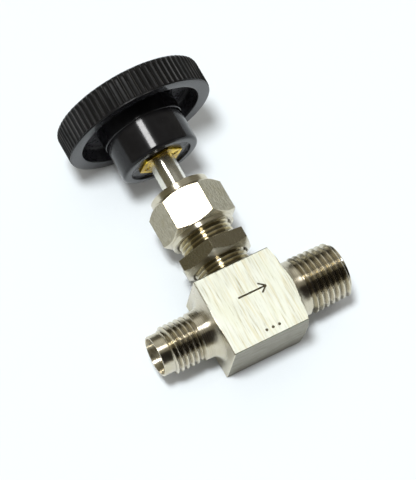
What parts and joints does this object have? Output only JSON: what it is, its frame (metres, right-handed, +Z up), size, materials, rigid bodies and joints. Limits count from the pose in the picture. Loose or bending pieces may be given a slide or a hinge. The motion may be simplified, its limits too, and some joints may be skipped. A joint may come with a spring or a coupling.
{
  "type": "needle valve",
  "caption": "Straight needle valve: square block with a male tube end and a male taper pipe end, screwed bonnet with panel nut and packing nut, and a black fluted round knob.",
  "frame": {"origin": "centre of the block's bottom face, on the stem axis", "axes": "+Z up the stem axis towards the knob, +X along the flow axis from the tube end to the pipe end, -Y out of the block's front face"},
  "size_m": [0.047, 0.036, 0.0672],
  "materials": {
    "bar_steel": "brushed bar stock with bright turned ends",
    "turned_steel": "fine turned and polished stainless steel",
    "nut_steel": "polished stainless steel hexagon",
    "ptfe": "white moulded and turned",
    "phenolic": "glossy black moulded",
    "brass": "machined, with stake marks",
    "alloy_steel": "black oxide"
  },
  "bodies": {
    "valve": {"valve_body": "bar_steel", "bonnet": "turned_steel", "bonnet_seal_ring": "ptfe", "bonnet_lock_pin": "turned_steel", "packing_washer": "turned_steel", "packing_lower_adapter": "ptfe", "packing_v_ring_1": "ptfe", "packing_v_ring_2": "ptfe", "packing_v_ring_3": "ptfe", "packing_upper_adapter": "ptfe"},
    "panel_nut": {"panel_nut": "nut_steel"},
    "gland": {"packing_gland": "turned_steel"},
    "packing_nut": {"packing_nut": "nut_steel"},
    "needle": {"needle_tip": "turned_steel", "tip_thrust_ball": "turned_steel"},
    "handle": {"stem": "turned_steel", "tip_retainer": "turned_steel", "knob": "phenolic", "knob_insert": "brass", "knob_set_screw": "alloy_steel"}
  },
  "joints": [
    {"name": "panel_nut_travel", "type": "slide", "parent": "valve", "child": "panel_nut", "axis": [0, 0, 1], "range_m": [-0.003, 0.003]},
    {"name": "gland_lift", "type": "slide", "parent": "valve", "child": "gland", "axis": [0, 0, 1], "range_m": [-0.00027, 0.00318]},
    {"name": "packing_nut_turn", "type": "hinge", "parent": "gland", "child": "packing_nut", "pos_m": [0, 0, 0.02983], "axis": [0, 0, 1], "range_deg": [-90, 1080]},
    {"name": "needle_lift", "type": "slide", "parent": "valve", "child": "needle", "axis": [0, 0, 1], "range_m": [0, 0.00424]},
    {"name": "knob_turn", "type": "hinge", "parent": "needle", "child": "handle", "pos_m": [0, 0, 0.04992], "axis": [0, 0, 1], "range_deg": [0, 1440]}
  ],
  "couplings": [
    {"joint": "gland_lift", "follows": "packing_nut_turn", "m_per_rad": 0.00016844},
    {"joint": "needle_lift", "follows": "knob_turn", "m_per_rad": 0.00016844}
  ]
}
